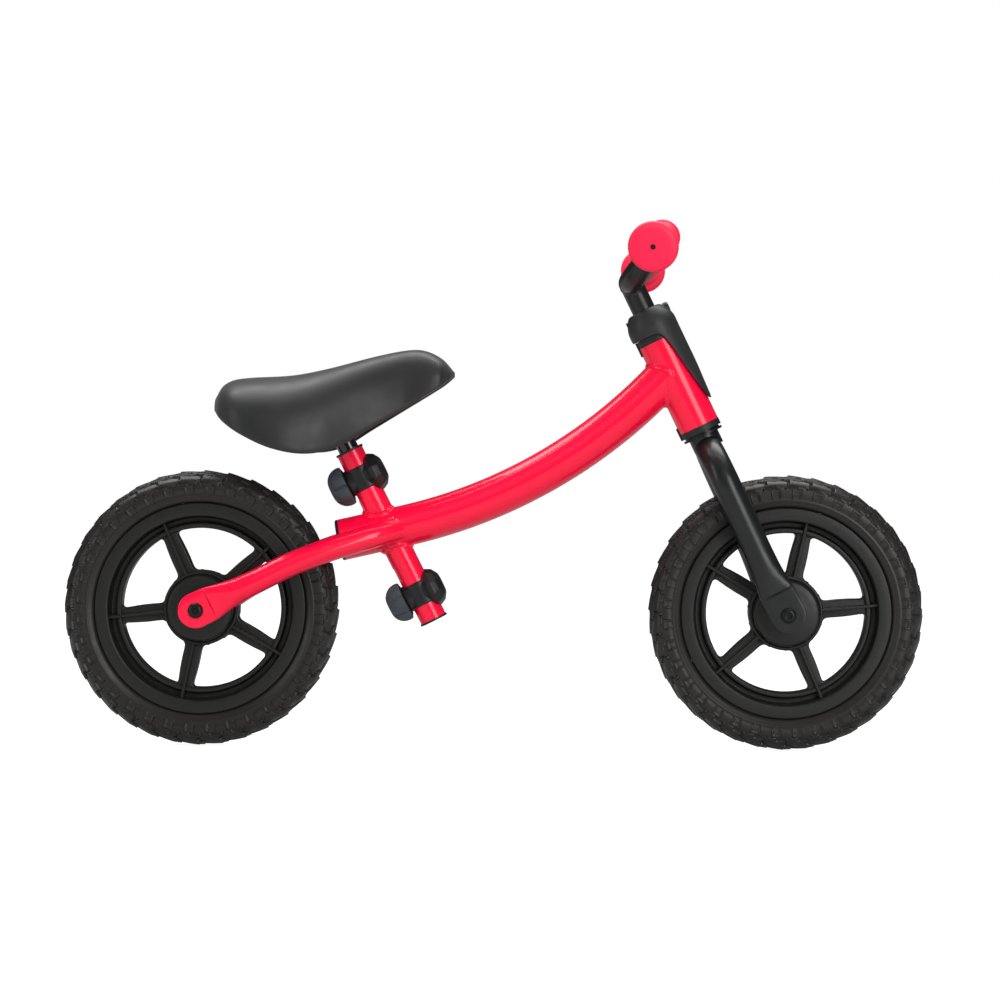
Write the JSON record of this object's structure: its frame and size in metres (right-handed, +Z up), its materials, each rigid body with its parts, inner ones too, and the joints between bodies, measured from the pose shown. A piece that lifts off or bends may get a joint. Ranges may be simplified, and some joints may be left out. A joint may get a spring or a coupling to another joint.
{
  "type": "balance bike",
  "caption": "Child's balance bike with a curved tube frame, foam tyres, steering fork, height-adjustable handlebar and clamped seat post.",
  "frame": {"origin": "on the ground plane, midway between the two wheel contacts", "axes": "+X forward, +Y to the rider's left, +Z up"},
  "size_m": [0.793, 0.4044, 0.4838],
  "materials": {
    "frame_paint": "gloss",
    "black_paint": "satin",
    "post_paint": "gloss",
    "black_bolt": "satin",
    "steel": "satin",
    "tyre_foam": "matte",
    "rim_plastic": "matte",
    "cover_plastic": "matte",
    "sleeve_plastic": "matte",
    "clamp_plastic": "satin",
    "knob_rubber": "matte",
    "grip_rubber": "satin",
    "saddle_foam": "matte"
  },
  "bodies": {
    "frame": {"main_tube": "frame_paint", "head_tube": "frame_paint", "seat_tube": "frame_paint", "stay_right": "frame_paint", "stay_left": "frame_paint", "main_tube_plug": "sleeve_plastic", "upper_headset_cup": "cover_plastic", "lower_headset_cup": "cover_plastic", "seat_sleeve_top": "sleeve_plastic", "seat_sleeve_bottom": "sleeve_plastic", "upper_clamp": "clamp_plastic", "lower_clamp": "clamp_plastic", "clamp_nuts": "steel", "rear_axle": "steel", "rear_axle_spacers": "steel", "rear_axle_bolts": "black_bolt"},
    "rear_wheel": {"rear_tyre": "tyre_foam", "rear_rim": "rim_plastic", "rear_bearings": "steel"},
    "fork": {"steerer_tube": "black_paint", "fork_crown": "black_paint", "fork_leg_right": "black_paint", "fork_leg_left": "black_paint", "crown_race": "black_paint", "steering_cover": "cover_plastic", "cover_screw": "black_bolt", "front_axle": "steel", "front_axle_spacers": "steel", "front_axle_bolts": "black_bolt", "button_guide_pin": "steel"},
    "front_wheel": {"front_tyre": "tyre_foam", "front_rim": "rim_plastic", "front_bearings": "steel"},
    "handlebar": {"stem_tube": "black_paint", "handlebar_tube": "black_paint", "grip_right": "grip_rubber", "grip_left": "grip_rubber"},
    "release_button": {"release_button": "sleeve_plastic"},
    "seat": {"seat_post": "post_paint", "saddle": "saddle_foam", "saddle_pan": "rim_plastic", "saddle_screws": "steel"},
    "upper_washer": {"upper_knob_washer": "sleeve_plastic"},
    "upper_knob": {"upper_knob": "knob_rubber", "upper_knob_bolt": "steel"},
    "lower_washer": {"lower_knob_washer": "sleeve_plastic"},
    "lower_knob": {"lower_knob": "knob_rubber", "lower_knob_bolt": "steel"}
  },
  "joints": [
    {"name": "rear_wheel_spin", "type": "hinge", "parent": "frame", "child": "rear_wheel", "pos_m": [-0.2695, 0, 0.127], "axis": [0, 1, 0], "continuous": true},
    {"name": "steering", "type": "hinge", "parent": "frame", "child": "fork", "pos_m": [0.1882, 0, 0.2986], "axis": [-0.4384, 0, 0.8988], "range_deg": [-35, 35]},
    {"name": "front_wheel_spin", "type": "hinge", "parent": "fork", "child": "front_wheel", "pos_m": [0.2695, 0, 0.127], "axis": [0, 1, 0], "continuous": true},
    {"name": "handlebar_height", "type": "slide", "parent": "fork", "child": "handlebar", "axis": [-0.4384, 0, 0.8988], "range_m": [0, 0.041]},
    {"name": "button_press", "type": "slide", "parent": "fork", "child": "release_button", "axis": [-0.8988, 0, -0.4384], "range_m": [0, 0.0025], "stiffness_N_per_m": 400, "springref_m": -0.001},
    {"name": "seat_height", "type": "slide", "parent": "frame", "child": "seat", "axis": [-0.4555, 0, 0.8902], "range_m": [0, 0.0436]},
    {"name": "upper_knob_travel", "type": "slide", "parent": "frame", "child": "upper_washer", "axis": [-0.8902, 0, -0.4555], "range_m": [0, 0.00125]},
    {"name": "upper_knob_turn", "type": "hinge", "parent": "upper_washer", "child": "upper_knob", "pos_m": [-0.12232, 0, 0.24829], "axis": [-0.8902, 0, -0.4555], "range_deg": [0, 360]},
    {"name": "lower_knob_travel", "type": "slide", "parent": "frame", "child": "lower_washer", "axis": [-0.8902, 0, -0.4555], "range_m": [0, 0.00125]},
    {"name": "lower_knob_turn", "type": "hinge", "parent": "lower_washer", "child": "lower_knob", "pos_m": [-0.06797, 0, 0.14209], "axis": [-0.8902, 0, -0.4555], "range_deg": [0, 360]}
  ],
  "couplings": [
    {"joint": "upper_knob_travel", "follows": "upper_knob_turn", "m_per_rad": 0.00019894},
    {"joint": "lower_knob_travel", "follows": "lower_knob_turn", "m_per_rad": 0.00019894}
  ]
}
